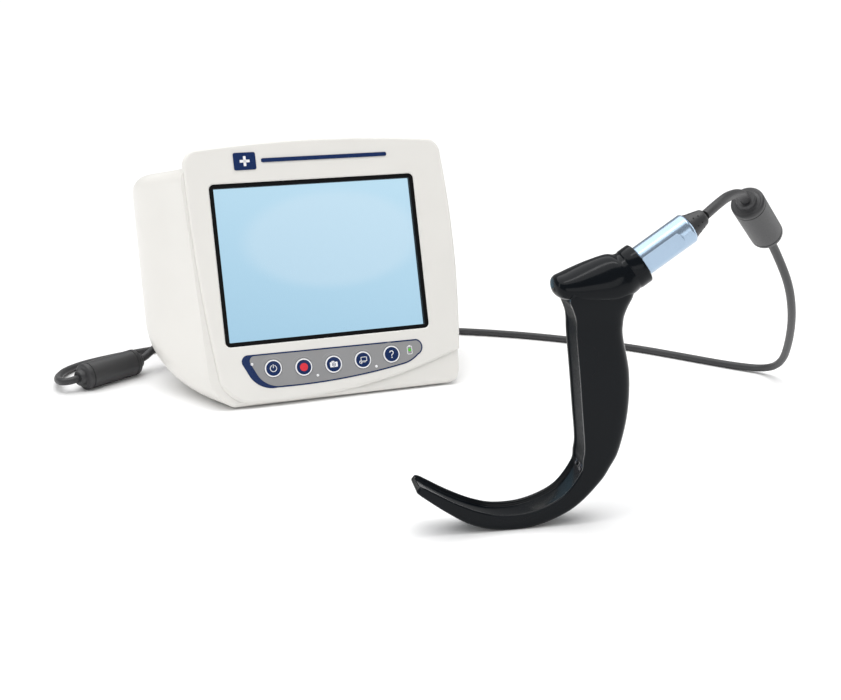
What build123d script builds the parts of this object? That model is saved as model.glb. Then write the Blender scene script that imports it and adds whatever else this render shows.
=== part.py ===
from build123d import *
import os
from math import cos, pi, radians, sin, tan

# Video laryngoscope: a tilted monitor on its own base, a one-piece blade handset standing in front
# of it, and the video cable between them.  Millimetres, +Z up, origin at the middle of the base.

# ---- monitor: driving dimensions ----
TILT = 19.0                 # how far the screen leans back, degrees
FACE_Y = -28.0              # bottom centre of the lit picture, in the model's frame
FACE_Z = 41.3
LIT_W, LIT_H = 130.6, 98.0  # lit picture, 4:3, 6.4 inch diagonal
BORDER = 2.75               # black frame round the picture
BEZEL_T = 7.0               # bezel thickness
GASKET_T = 1.2
BASE_Z = 1.0                # underside of the base, above the feet's contact plane
BASE_ROUND = 3.0
WALL = 2.6
REAR_DEPTH = 88.0           # screen face to the back, along the screen's normal
MOUNT_PITCH = 75.0          # square pattern of threaded inserts in the back
MOUNT_CENTRE_V = 54.0
INSERT_R, INSERT_BORE_R, INSERT_LENGTH = 3.2, 1.65, 7.0

# ---- buttons ----
BUTTON_NAMES = ("power", "record", "snapshot", "display", "help")
BUTTON_PITCH = 19.8
BUTTON_V = -20.2            # the middle button; the row tilts and bows up a little towards its ends
BUTTON_SLOPE, BUTTON_BOW = 0.012, 0.00125
BUTTON_R = 5.6
BUTTON_GAP = 0.3
STEM_R = 2.5

# ---- handset: driving dimensions ----
HANDSET_X, HANDSET_Y, HANDSET_TURN = 24.9, -242.2, -8.4
SHELL_T = 2.0
PLUG_TILT = 34.3            # the plug leaves the head at this angle above level
PLUG_X, PLUG_Z = 70.8, 132.4   # centre of the collar's face, in the handset's own plane
COLLAR_R, COLLAR_T = 10.6, 7.5
SLEEVE_R, SLEEVE_T = 7.8, 29.0
SLEEVE_FLAT = 6.9           # from the axis to each milled grip flat
TONGUE_R, TONGUE_T = 4.6, 12.0
RUNNING_GAP = 0.1

# ---- cable ----
CABLE_R = 2.5
FERRITE_R = 8.9
BOSS_R, BOSS_T = 5.2, 4.0

FACE = Plane(
    origin=(0, FACE_Y, FACE_Z),
    x_dir=(1, 0, 0),
    z_dir=(0, -cos(radians(TILT)), sin(radians(TILT))),
)
HANDSET = Plane(
    origin=(HANDSET_X, HANDSET_Y, 0),
    x_dir=(cos(radians(HANDSET_TURN)), sin(radians(HANDSET_TURN)), 0),
    z_dir=(0, 0, 1),
)
PLUG_AXIS = (cos(radians(PLUG_TILT)), 0, sin(radians(PLUG_TILT)))
PLUG = Plane(origin=(PLUG_X, 0, PLUG_Z), x_dir=(0, 1, 0), z_dir=PLUG_AXIS)

NODES = {}


def keep(name, part, colour):
    """Name a finished piece and put it in the model."""
    part.label = name
    part.color = Color(*colour)
    NODES[name] = part


def slab(face, front, back):
    """A plate with this outline on the monitor's face, between two heights over the face."""
    return Pos(0, 0, back) * extrude(face, amount=front - back)


def block(u, v, front, back, width, height):
    return Pos(u, v, (front + back) / 2) * Box(width, height, front - back)


def peg(u, v, front, back, radius):
    return Pos(u, v, (front + back) / 2) * Cylinder(radius, front - back)


def shrink(face, amount):
    return offset(face, amount=-amount)


WHITE = (0.93, 0.92, 0.89)
BLACK = (0.03, 0.03, 0.035)
NAVY = (0.06, 0.14, 0.36)
GREY = (0.45, 0.45, 0.45)
STEEL = (0.6, 0.62, 0.65)
GREEN = (0.05, 0.3, 0.15)
DARK = (0.16, 0.16, 0.17)


# ---------------------------------------------------------------- monitor outlines
def bezel_outline():
    """Asymmetric front: bowed sides, arched top and a lower edge that sweeps up to the right."""
    edges = [
        ThreePointArc((-74.4, -23.5), (-80.6, 44.0), (-82.6, 113.0)),
        ThreePointArc((-82.6, 113.0), (-79.6, 120.8), (-72.0, 123.8)),
        ThreePointArc((-72.0, 123.8), (3.5, 127.4), (80.0, 123.8)),
        ThreePointArc((80.0, 123.8), (87.0, 120.0), (89.4, 112.6)),
        ThreePointArc((89.4, 112.6), (92.2, 48.0), (88.2, -18.8)),
        ThreePointArc((88.2, -18.8), (20.0, -36.2), (-50.0, -39.8)),
        ThreePointArc((-50.0, -39.8), (-66.8, -34.8), (-74.4, -23.5)),
    ]
    return make_face(edges)


def keypad_outline():
    """Long leaf-shaped keypad, straight on top, pointed at its left end."""
    edges = [
        Line((-55.3, -8.7), (57.8, -9.5)),
        ThreePointArc((57.8, -9.5), (61.5, -13.6), (58.0, -19.9)),
        ThreePointArc((58.0, -19.9), (52.6, -23.5), (46.8, -25.2)),
        ThreePointArc((46.8, -25.2), (6.0, -30.2), (-38.0, -31.1)),
        ThreePointArc((-38.0, -31.1), (-48.4, -29.0), (-54.8, -22.8)),
        Line((-54.8, -22.8), (-58.9, -14.4)),
        ThreePointArc((-58.9, -14.4), (-58.6, -10.6), (-55.3, -8.7)),
    ]
    return make_face(edges)


def floor_line(depth, height):
    """Where a level plane cuts the section at this depth behind the face."""
    return (height - FACE_Z + depth * sin(radians(TILT))) / cos(radians(TILT))


# depth, left and right edge at the top, the same at the bottom, top edge, and the four corner radii
# (top left, top right, bottom left, bottom right)
SHELL_SECTIONS = [
    (2.0, -85.0, 89.0, -79.5, 86.0, 112.5, 8, 8, 24, 12),
    (20.0, -93.0, 94.5, -92.0, 92.5, 114.5, 8, 8, 27, 20),
    (36.0, -102.5, 100.5, -102.5, 100.5, 116.0, 8, 8, 34, 30),
    (52.0, -108.6, 106.6, -109.4, 107.4, 117.0, 9, 9, 42, 42),
    (70.0, -107.4, 106.6, -108.0, 107.0, 115.5, 12, 12, 44, 44),
    (82.0, -101.0, 100.0, -101.5, 100.5, 111.0, 20, 20, 45, 45),
    (88.0, -92.0, 92.0, -92.0, 92.0, 104.0, 26, 26, 45, 45),
]


def shell_section(row, inset):
    depth, top_left, top_right, low_left, low_right, top, *radii = row
    low = floor_line(depth, BASE_Z - 1.0)
    corners = [
        (top_left + inset, top - inset),
        (top_right - inset, top - inset),
        (low_left + inset, low),
        (low_right - inset, low),
    ]
    outline = make_face(Polyline(corners[0], corners[1], corners[3], corners[2], close=True))
    for corner, radius in zip(corners, radii):
        vertex = outline.vertices().sort_by_distance((*corner, 0))[0]
        outline = fillet(vertex, radius=max(radius - inset, 3.0))
    return Pos(0, 0, -depth) * outline


def level_cut(height):
    """Everything under this height."""
    return Pos(0, 0, height - 100) * Box(600, 600, 200)


def rear_shell_body():
    outer = loft([shell_section(row, 0) for row in SHELL_SECTIONS])
    inner_rows = [(11.0, -88.0, 91.0, -85.0, 89.0, 113.4, 8, 8, 25, 14)] + SHELL_SECTIONS[1:-1]
    last = SHELL_SECTIONS[-1]
    inner_rows.append((last[0] - WALL, -95.0, 95.0, -95.0, 95.0, 107.0, 25, 25, 45, 45))
    inner = loft([shell_section(row, WALL) for row in inner_rows])
    flange = slab(shrink(bezel_outline(), 0.6), -BEZEL_T - GASKET_T, -11.4)
    opening = slab(shrink(bezel_outline(), 5.0), 0, -11.6)
    pocket = slab(bezel_outline(), 20, -BEZEL_T - GASKET_T)
    body = FACE * outer - level_cut(BASE_Z)
    rim = body.edges().group_by(Axis.Z)[0]
    body = fillet(rim, radius=BASE_ROUND)
    body += FACE * flange
    body -= FACE * pocket
    body -= FACE * inner - level_cut(BASE_Z + WALL)
    return body - FACE * opening


# ---------------------------------------------------------------- monitor
BACK = -REAR_DEPTH
LIT_V = LIT_H / 2
SCREEN_RECESS = 0.8


def screen_plate(extra, radius, front, back):
    plate = RectangleRounded(LIT_W + 2 * extra, LIT_H + 2 * extra, radius)
    return slab(Pos(0, LIT_V) * plate, front, back)


def button_places():
    middle = (len(BUTTON_NAMES) - 1) / 2
    places = []
    for i, name in enumerate(BUTTON_NAMES):
        u = (i - middle) * BUTTON_PITCH
        places.append((name, u, BUTTON_V + BUTTON_SLOPE * u + BUTTON_BOW * u**2))
    return places


def overlay_outline():
    """The grey membrane: inside the navy rim, and set off from its left end."""
    inner = shrink(keypad_outline(), 0.9)
    return inner & (Pos(4.2, 0) * inner)


OVERLAY_TOP, OVERLAY_FLOOR, SURROUND_FLOOR = 0.4, -1.0, -2.0
SWITCH_TOP, SWITCH_BOARD_TOP = -5.7, -9.2


def build_front():
    bezel = slab(bezel_outline(), 0, -BEZEL_T)
    bezel = fillet(bezel.faces().sort_by(Axis.Z)[-1].outer_wire().edges(), radius=2.4)
    bezel -= screen_plate(BORDER, 3.4, 1, -4.1)
    bezel -= block(0, LIT_V, -4.1, -BEZEL_T - 1, LIT_W + 10, LIT_H + 8.4)
    rim = bezel.edges().filter_by(lambda e: abs(e.center().Z) < 0.01 and abs(e.center().X) < 70)
    bezel = chamfer(rim, length=0.7)
    bezel -= slab(keypad_outline(), 1, SURROUND_FLOOR)
    bezel -= slab(shrink(keypad_outline(), 1.8), 1, -BEZEL_T - 1)
    badge_seat = Pos(0.5, 114.3) * RectangleRounded(104.0, 13.0, 1.5)
    bezel -= slab(badge_seat, 1, -0.6)
    keep("front_bezel", FACE * bezel, WHITE)

    seal = shrink(bezel_outline(), 0.9)
    gasket = slab(seal, -BEZEL_T, -BEZEL_T - GASKET_T)
    gasket -= slab(shrink(bezel_outline(), 5.0), 0, -BEZEL_T - GASKET_T - 1)
    keep("bezel_gasket", FACE * gasket, BLACK)

    keep("badge", FACE * slab(Pos(0.5, 114.3) * RectangleRounded(103.6, 12.6, 1.3), 0.5, -0.6), NAVY)

    frame = screen_plate(BORDER, 3.4, -SCREEN_RECESS, -4.1) - screen_plate(0, 0.6, 1, -6)
    keep("screen_gasket", FACE * frame, BLACK)
    keep("screen_window", FACE * screen_plate(0, 0.6, -1.2, -3.4), (0.8, 0.9, 1.0))
    keep("lcd_panel", FACE * block(0, LIT_V, -4.1, -9.2, LIT_W + 8, LIT_H + 7), (0.78, 0.89, 0.97))
    bracket = block(0, LIT_V, -9.2, -10.4, LIT_W + 12, LIT_H + 10)
    bracket -= block(0, LIT_V, -8, -12, LIT_W - 20, LIT_H - 20)
    keep("lcd_bracket", FACE * bracket, STEEL)


def build_keypad():
    surround = slab(keypad_outline(), 0.2, SURROUND_FLOOR)
    surround -= slab(overlay_outline(), 1, OVERLAY_FLOOR)
    overlay = slab(overlay_outline(), OVERLAY_TOP, OVERLAY_FLOOR)
    board = block(0, BUTTON_V + 1.6, SWITCH_BOARD_TOP, SWITCH_BOARD_TOP - 1.2, 106, 11)
    for name, u, v in button_places():
        surround -= peg(u, v, 1, SURROUND_FLOOR - 1, STEM_R + 0.4)
        overlay -= peg(u, v, 1, OVERLAY_FLOOR - 1, BUTTON_R + BUTTON_GAP)
        board += block(u, v, SWITCH_TOP, SWITCH_BOARD_TOP, 5, 5)
        cap = peg(u, v, 0.9, -0.1, BUTTON_R)
        cap = fillet(cap.edges().group_by(Axis.Z)[-1], radius=0.45)
        button = cap + peg(u, v, 0, -4.6, STEM_R)
        keep(f"{name}_button", FACE * button, NAVY)
    battery_lamp = Pos(52.4, -16.4) * RectangleRounded(4.0, 6.0, 0.6)
    overlay -= slab(battery_lamp, 1, -0.2)
    keep("battery_lamp", FACE * slab(battery_lamp, 0.45, -0.2), (0.35, 0.75, 0.25))
    keep("keypad_surround", FACE * surround, NAVY)
    keep("keypad_overlay", FACE * overlay, GREY)
    keep("switch_board", FACE * board, GREEN)


def mount_points():
    half = MOUNT_PITCH / 2
    return [(u, MOUNT_CENTRE_V + v) for u in (-half, half) for v in (-half, half)]


SOCKET_U, SOCKET_V, SOCKET_R = -74.0, 10.3, 7.2
POWER_U, POWER_V, POWER_R = 60.0, 4.0, 5.5
USB_U, USB_V, USB_W, USB_H = 30.0, 2.0, 16.0, 8.0
BARREL_R, BARREL_HALF = 0.75, 5.4
DOOR_W, DOOR_L, DOOR_Y = 104.0, 46.0, 8.0
FEET = [(-48.0, -23.0), (60.0, -23.0), (-56.0, 38.0), (56.0, 38.0)]
FOOT_R, FOOT_T = 5.0, 2.2
CENTRE_PAD_R, CENTRE_PAD_T = 6.0, 1.1
BOARD_DEPTH = 30.0
BOARD_HOLES = [(u, v) for u in (-66, 66) for v in (14, 92)]


def build_rear():
    shell = rear_shell_body()
    for u, v in mount_points():
        boss = peg(u, v, BACK + 12, BACK + 1, INSERT_R + 2.4)
        shell += FACE * boss
        shell -= FACE * peg(u, v, BACK + INSERT_LENGTH, BACK - 1, INSERT_R)
    for u, v in BOARD_HOLES:
        shell += FACE * (peg(u, v, -BOARD_DEPTH - 1.6, BACK + 1, 3.4))
        shell -= FACE * peg(u, v, 0, -BOARD_DEPTH - 14, 1.3)
    shell -= FACE * peg(SOCKET_U, SOCKET_V, BACK + 12, BACK - 1, SOCKET_R)
    shell -= FACE * peg(POWER_U, POWER_V, BACK + 12, BACK - 1, POWER_R)
    shell -= FACE * block(USB_U, USB_V, BACK + 12, BACK - 1, USB_W, USB_H)
    shell -= Pos(0, DOOR_Y, 0) * Box(DOOR_W + 0.4, DOOR_L + 0.4, 12)
    for x in (-1, 1):
        ledge = Pos(x * (DOOR_W / 2 - 3), DOOR_Y, BASE_Z + 3.2) * Box(7, DOOR_L + 3, 1.6)
        shell += ledge
        shell -= Pos(x * (DOOR_W / 2 - 4), DOOR_Y, 4) * Cylinder(1.3, 12)
    for x, y in FEET:
        shell += Pos(x, y, BASE_Z + 2.4) * Cylinder(FOOT_R + 1.6, 3.6)
        shell -= Pos(x, y, FOOT_T / 2) * Cylinder(FOOT_R, FOOT_T)
    keep("rear_shell", shell, WHITE)

    feet = [Pos(x, y, FOOT_T / 2) * Cylinder(FOOT_R, FOOT_T) for x, y in FEET]
    feet.append(Pos(0, 0, CENTRE_PAD_T / 2) * Cylinder(CENTRE_PAD_R, CENTRE_PAD_T))
    keep("rubber_feet", Compound(children=feet), DARK)

    inserts = []
    for u, v in mount_points():
        ring = peg(u, v, BACK + INSERT_LENGTH, BACK, INSERT_R)
        inserts.append(FACE * (ring - peg(u, v, 0, BACK - 1, INSERT_BORE_R)))
    keep("mount_inserts", Compound(children=inserts), (0.78, 0.62, 0.3))

    door = Pos(0, DOOR_Y, BASE_Z + 1.2) * Box(DOOR_W, DOOR_L, 2.2)
    screws = []
    for x in (-1, 1):
        place = Pos(x * (DOOR_W / 2 - 4), DOOR_Y, BASE_Z + 0.1)
        screw = place * (Pos(0, 0, 0.8) * Cylinder(2.4, 1.4) + Pos(0, 0, 2.6) * Cylinder(1.3, 5))
        door -= screw
        slot = place * Pos(0, 0, 0.1) * Box(3.2, 0.6, 0.8)
        screws.append(screw - slot)
    keep("battery_door", door, WHITE)
    keep("door_screws", Compound(children=screws), STEEL)


def build_inside():
    board = block(0, 53, -BOARD_DEPTH, -BOARD_DEPTH - 1.6, 148, 92)
    board += block(-30, 60, -BOARD_DEPTH + 3, -BOARD_DEPTH, 30, 30)
    board += block(25, 40, -BOARD_DEPTH + 2, -BOARD_DEPTH, 22, 22)
    board += block(40, 82, -BOARD_DEPTH + 7, -BOARD_DEPTH, 26, 9)
    screws = []
    for u, v in BOARD_HOLES:
        board -= peg(u, v, 0, -60, 1.6)
        head = peg(u, v, -BOARD_DEPTH + 2, -BOARD_DEPTH, 2.8)
        screws.append(FACE * (head + peg(u, v, -BOARD_DEPTH, -BOARD_DEPTH - 10, 1.3)))
    keep("main_board", FACE * board, GREEN)
    keep("board_screws", Compound(children=screws), STEEL)

    pack = Pos(0, DOOR_Y, 18.4) * Box(94, 40, 24)
    keep("battery_pack", fillet(pack.edges().filter_by(Axis.X), radius=5), (0.12, 0.2, 0.4))

    socket = peg(SOCKET_U, SOCKET_V, BACK + 9, BACK, SOCKET_R)
    socket -= peg(SOCKET_U, SOCKET_V, BACK + 7, BACK - 1, 5.2)
    keep("cable_socket", FACE * socket, STEEL)
    jack = peg(POWER_U, POWER_V, BACK + 9, BACK, POWER_R) - peg(POWER_U, POWER_V, BACK + 8, BACK - 1, 3.6)
    jack += peg(POWER_U, POWER_V, BACK + 8.5, BACK + 1, 1.0)
    keep("power_jack", FACE * jack, BLACK)
    port = block(USB_U, USB_V, BACK + 11, BACK + 3, USB_W, USB_H)
    port -= block(USB_U, USB_V, BACK + 9, BACK - 1, 12.4, 4.8)
    port += block(USB_U, USB_V + 0.9, BACK + 9.5, BACK + 4, 11, 1.4)
    keep("usb_port", FACE * port, STEEL)
    build_port_flap()


def build_port_flap():
    """The rubber flap over the USB port, on a barrel between the two lugs of its anchor."""
    outside, inside = BACK - 1.8, BACK - 0.3
    flap_top = USB_V + USB_H / 2 + 1
    hinge_v = flap_top + 3
    flap = block(USB_U, USB_V, BACK + 1.0, BACK - 0.4, USB_W - 1.4, USB_H - 1.4)
    flap += block(USB_U, USB_V, inside, outside, USB_W + 2, USB_H + 2)
    flap += block(USB_U, hinge_v - 2, inside, outside, 2 * BARREL_HALF, 4)
    axis_place = Pos(USB_U, hinge_v, (outside + inside) / 2) * Rot(0, 90, 0)
    flap += axis_place * Cylinder(BARREL_R, 2 * BARREL_HALF)
    keep("port_flap", FACE * flap, DARK)

    anchor = block(USB_U, hinge_v + 3, BACK, outside, USB_W - 2, 4)
    for side in (-1, 1):
        lug_u = side * (BARREL_HALF + 0.9)
        anchor += block(USB_U + lug_u, hinge_v + 1, BACK, outside, 1.4, 1.6)
        anchor += axis_place * Pos(0, 0, lug_u) * Cylinder(BARREL_R, 1.4)
    keep("flap_anchor", FACE * anchor, DARK)


# ---------------------------------------------------------------- handset
# place of the upper (inner) face in the handset's plane, the direction across the section in degrees,
# thickness, width and corner radius, from the blade's tip up to the head
BLADE_STATIONS = [
    (-37.8, 26.8, -128, 3.0, 16.4, 1.3),
    (-34.4, 25.0, -128, 4.4, 17.6, 1.8),
    (-21.6, 17.4, -127, 6.4, 18.0, 2.4),
    (-9.0, 11.4, -122, 8.4, 18.0, 2.8),
    (3.0, 8.4, -98, 8.4, 18.0, 2.8),
    (18.2, 9.3, -82, 9.1, 18.2, 3.0),
    (33.4, 15.8, -57, 9.9, 18.6, 3.4),
    (42.4, 27.4, -31, 12.8, 19.0, 4.2),
    (44.0, 41.5, -8, 19.8, 19.4, 5.4),
    (42.2, 58.0, 0, 24.9, 19.8, 6.4),
    (40.0, 78.0, 0, 26.8, 20.0, 6.8),
    (37.7, 97.0, 0, 24.9, 19.6, 6.4),
    (37.2, 106.0, 0, 25.3, 19.8, 6.4),
    (34.6, 112.8, 0, 29.8, 21.8, 7.0),
    (30.6, 117.2, 0, 37.0, 23.6, 8.0),
]
HEAD_SPLIT_Z = 117.2


def blade_section(row, inset=0.0):
    x, z, turn, thick, width, radius = row
    across = (cos(radians(turn)), 0, sin(radians(turn)))
    middle = (x + across[0] * thick / 2, 0, z + across[2] * thick / 2)
    plane = Plane(origin=middle, x_dir=across, z_dir=(-across[2], 0, across[0]))
    return plane * RectangleRounded(thick - 2 * inset, width - 2 * inset, max(radius - inset, 0.8))


def head_section(x, z, lean, high, wide, radius):
    """Upright section across the head, leaning back with the plug's axis."""
    plane = Plane(origin=(x, 0, z), x_dir=(0, 1, 0), z_dir=(cos(radians(lean)), 0, sin(radians(lean))))
    return plane * RectangleRounded(wide, high, radius)


def head_solid(inset=0.0):
    rows = [
        (27.6, 123.6, 0, 5.0, 12.0, 2.4),
        (30.0, 123.4, 0, 10.0, 18.0, 4.6),
        (37.0, 124.2, 2, 15.6, 23.2, 6.6),
        (48.0, 125.8, 8, 19.4, 25.0, 8.4),
        (57.5, 127.0, 20, 22.6, 24.6, 9.6),
        (64.2, 127.9, PLUG_TILT, 21.4, 21.4, 10.4),
    ]
    return loft([head_section(x, z, a, h - 2 * inset, w - 2 * inset, r - inset) for x, z, a, h, w, r in rows])


def plug_peg(start, end, radius):
    """A cylinder on the plug's axis, between two distances out from the collar's face."""
    return PLUG * (Pos(0, 0, (start + end) / 2) * Cylinder(radius, end - start))


CAMERA_RISE = 24.0          # the camera looks forward along the blade and this much upwards, degrees
CAMERA = Plane(
    origin=(42.6, 0, 29.8),
    x_dir=(0, 1, 0),
    z_dir=(-cos(radians(CAMERA_RISE)), 0, sin(radians(CAMERA_RISE))),
)


def camera_peg(offset_w, out, back, radius):
    """A small cylinder looking down the blade, between two distances out from its window."""
    return CAMERA * (Pos(offset_w, 0, (out + back) / 2) * Cylinder(radius, out - back))


def build_handset():
    below = Pos(0, 0, HEAD_SPLIT_Z - 200) * Box(400, 100, 400)
    rows = BLADE_STATIONS
    shell = loft([blade_section(row) for row in rows])
    cavity = loft([blade_section(row, SHELL_T) for row in rows[8:]])
    windows = camera_peg(-3.4, 6, -6, 2.6) + camera_peg(3.6, 6, -6, 1.8)
    shell -= cavity + windows
    keep("blade_shell", HANDSET * (shell & below), BLACK)

    head = head_solid() - below
    head -= Pos(51, 0, 121.0) * Box(26, 14, 12)
    collar_seat = plug_peg(-30, 40, TONGUE_R + 3.4)
    head -= collar_seat
    keep("head_cap", HANDSET * head, BLACK)

    collar = plug_peg(-COLLAR_T, 0, COLLAR_R)
    collar = fillet(collar.edges().sort_by(Axis.X)[-1], radius=1.4)
    collar -= plug_peg(-30, 10, TONGUE_R + 3.4)
    keep("collar", HANDSET * collar, BLACK)

    socket = plug_peg(-TONGUE_T - 3, -0.2, TONGUE_R + 3.4)
    socket -= plug_peg(-TONGUE_T - 1, 10, TONGUE_R + RUNNING_GAP)
    keep("handset_socket", HANDSET * socket, STEEL)

    keep("camera_window", HANDSET * camera_peg(-3.4, -1.2, -2.4, 2.6), (0.5, 0.55, 0.6))
    keep("light_window", HANDSET * camera_peg(3.6, -1.2, -2.4, 1.8), (0.95, 0.95, 0.9))
    keep("camera_module", HANDSET * camera_peg(-3.4, -2.4, -6, 2.3), BLACK)
    keep("light_emitter", HANDSET * camera_peg(3.6, -2.4, -3.6, 1.6), (0.95, 0.9, 0.6))
    board = Pos(53, 0, 84) * Box(1.2, 12, 40)
    board += Pos(54.6, 0, 92) * Box(2.0, 7, 9)
    keep("handset_board", HANDSET * board, GREEN)
    keep("flex_cable", HANDSET * (Pos(50.5, -3.4, 55) * Box(0.4, 5, 18)), (0.75, 0.5, 0.15))


# ---------------------------------------------------------------- video cable
PLUG_EXIT = HANDSET.from_local_coords(PLUG.from_local_coords(Vector(0, 0, SLEEVE_T + 9)))


def between(start, end, radius, end_radius=None):
    """A cylinder or cone from one point to another."""
    start, end = Vector(*start), Vector(*end)
    plane = Plane(origin=start, z_dir=end - start)
    length = (end - start).length
    if end_radius is None:
        return plane * (Pos(0, 0, length / 2) * Cylinder(radius, length))
    return plane * (Pos(0, 0, length / 2) * Cone(radius, end_radius, length))


# boot of the monitor's plug, and the two moulded ferrites: face centres, in the model's frame
MONITOR_BOOT = [(-79.0, 67.8, 20.6), (-100.0, 65.5, 15.4)]
FERRITE_A = [(-116.5, 54.8, FERRITE_R), (-152.8, 33.2, FERRITE_R)]
FERRITE_B = [(175.9, -218.8, 150.3), (204.5, -198.7, 126.9)]


def boss_end(near, far):
    """The end of the boss on the near face, and so where the cable meets the ferrite."""
    near, far = Vector(*near), Vector(*far)
    return near + (near - far).normalized() * BOSS_T


def ferrite(near, far):
    body = between(near, far, FERRITE_R)
    body = fillet(body.edges().filter_by(GeomType.CIRCLE), radius=1.8)
    for face, other in ((near, far), (far, near)):
        body += between(face, boss_end(face, other), BOSS_R)
    return body


def cable(points):
    """Round cable on straight runs joined by the largest arcs that the runs allow."""
    points = [Vector(*p) for p in points]
    runs = [b - a for a, b in zip(points, points[1:])]
    radii = []
    for before, after in zip(runs, runs[1:]):
        half_turn = radians(before.get_angle(after)) / 2
        radii.append(0.45 * min(before.length, after.length) / tan(half_turn))
    path = FilletPolyline(*points, radius=radii)
    end = Plane(origin=points[0], z_dir=runs[0])
    tube = sweep(end * Circle(CABLE_R), path=path)
    print("cable", round(path.length, 1), "radii", [round(r, 1) for r in radii])
    print("volume over section x length", round(tube.volume / (path.length * pi * CABLE_R**2), 4))
    return tube


FLOOR_H = CABLE_R
SOCKET_ROUTE = [
    MONITOR_BOOT[1],
    (-107.0, 61.2, 10.8),
    boss_end(*FERRITE_A),
]
MAIN_ROUTE = [
    boss_end(*reversed(FERRITE_A)),
    (-161.8, 27.9, 8.7),
    (-167.6, 32.0, 7.6),
    (-169.0, 43.4, 5.8),
    (-167.4, 55.6, 4.0),
    (-162.6, 69.0, 2.8),
    (-150.0, 81.0, FLOOR_H),
    (-130.0, 89.6, FLOOR_H),
    (-103.0, 98.0, FLOOR_H),
    (-66.0, 103.6, FLOOR_H),
    (-14.0, 103.4, FLOOR_H),
    (38.0, 97.6, FLOOR_H),
    (86.0, 85.6, FLOOR_H),
    (128.0, 67.4, FLOOR_H),
    (165.0, 44.6, FLOOR_H),
    (199.0, 17.6, FLOOR_H),
    (231.0, -12.6, FLOOR_H),
    (255.5, -44.4, FLOOR_H),
    (276.0, -72.0, FLOOR_H),
    (292.6, -90.5, 3.6),
    (289.5, -110.5, 15.5),
    (275.0, -134.5, 38.0),
    (257.0, -159.0, 64.0),
    (240.0, -176.0, 88.0),
    (224.0, -186.5, 107.0),
    boss_end(*reversed(FERRITE_B)),
]
HANDSET_ROUTE = [
    boss_end(*FERRITE_B),
    (165.0, -229.0, 157.2),
    (151.4, -240.4, 159.6),
    (138.4, -251.0, 159.0),
    PLUG_EXIT,
]


def build_cable():
    plug = peg(SOCKET_U, SOCKET_V, BACK - 0.2, BACK - 13, 8.6)
    plug = fillet(plug.edges().filter_by(GeomType.CIRCLE), radius=1.6)
    plug += peg(SOCKET_U, SOCKET_V, BACK + 6.6, BACK - 0.3, 5.1)
    plug = FACE * plug
    keep("monitor_plug", plug, DARK)
    boot = between(*MONITOR_BOOT, 5.6, 3.8) - plug
    keep("monitor_strain_relief", boot, DARK)
    keep("ferrite_monitor", ferrite(*FERRITE_A), DARK)
    keep("ferrite_handset", ferrite(*FERRITE_B), DARK)
    keep("video_cable_socket_end", cable(SOCKET_ROUTE), DARK)
    keep("video_cable", cable(MAIN_ROUTE), DARK)
    keep("video_cable_handset_end", cable(HANDSET_ROUTE), DARK)

    sleeve = plug_peg(0, SLEEVE_T, SLEEVE_R)
    sleeve = fillet(sleeve.edges().sort_by(Axis.X)[-1], radius=1.2)
    for side in (-1, 1):
        sleeve -= PLUG * (Pos(side * (SLEEVE_FLAT + 10), 0, 14.5) * Box(20, 20, 17))
    sleeve -= plug_peg(-1, 6, 5.4)
    keep("handset_plug_sleeve", HANDSET * sleeve, (0.55, 0.65, 0.75))
    tongue = plug_peg(-TONGUE_T, 6, TONGUE_R) + plug_peg(0.3, 6, 5.4)
    keep("handset_plug_tongue", HANDSET * tongue, STEEL)
    relief = PLUG * (Pos(0, 0, SLEEVE_T + 4.5) * Cone(6.4, 3.6, 9))
    keep("handset_strain_relief", HANDSET * relief, DARK)


build_front()
build_keypad()
build_rear()
build_inside()
build_handset()
build_cable()

os.makedirs("parts", exist_ok=True)
for node, piece in NODES.items():
    export_step(piece, f"parts/{node}.step")
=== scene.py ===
"""Video laryngoscope: finishes and fine pieces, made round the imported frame."""
from math import cos, pi, radians, sin

import bmesh
import bpy
from bpy.props import FloatProperty, FloatVectorProperty, IntProperty, PointerProperty
from mathutils import Matrix, Vector


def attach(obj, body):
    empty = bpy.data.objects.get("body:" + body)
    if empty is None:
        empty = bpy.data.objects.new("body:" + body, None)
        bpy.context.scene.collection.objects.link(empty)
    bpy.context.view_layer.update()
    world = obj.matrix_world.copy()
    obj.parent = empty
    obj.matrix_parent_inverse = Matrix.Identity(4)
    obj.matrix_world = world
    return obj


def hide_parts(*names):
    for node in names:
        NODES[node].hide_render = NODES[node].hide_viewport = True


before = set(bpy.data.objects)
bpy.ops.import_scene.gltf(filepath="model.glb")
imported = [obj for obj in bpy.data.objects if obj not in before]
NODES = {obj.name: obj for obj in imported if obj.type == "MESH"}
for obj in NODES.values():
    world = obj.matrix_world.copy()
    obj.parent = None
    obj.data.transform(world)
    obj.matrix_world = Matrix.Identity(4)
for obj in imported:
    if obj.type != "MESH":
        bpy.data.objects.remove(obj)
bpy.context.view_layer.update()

bl_info = {
    "name": "Video laryngoscope",
    "version": (1, 0, 0),
    "blender": (4, 5, 0),
    "location": "View3D > Sidebar > Laryngoscope",
    "description": "Finishes the monitor, the blade handset and the cable of a video laryngoscope",
    "category": "Object",
}

# ---- places, in millimetres ----
TILT = radians(19.0)
HANDSET_TURN = radians(-8.4)
PLUG_TILT = radians(34.3)
MILLIMETRES = Matrix.Scale(0.001, 4)
# u right, v up along the screen, third axis out of it; origin at the lit picture's bottom middle
FACE = MILLIMETRES @ Matrix(
    (
        (1, 0, 0, 0),
        (0, sin(TILT), -cos(TILT), -28.0),
        (0, cos(TILT), sin(TILT), 41.3),
        (0, 0, 0, 1),
    )
)
# x from the blade's tip side to the plug side, y across the handset, z up
HANDSET_FOOT = Matrix.Translation((24.9, -242.2, 0))
HANDSET = MILLIMETRES @ HANDSET_FOOT @ Matrix.Rotation(HANDSET_TURN, 4, "Z")
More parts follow.
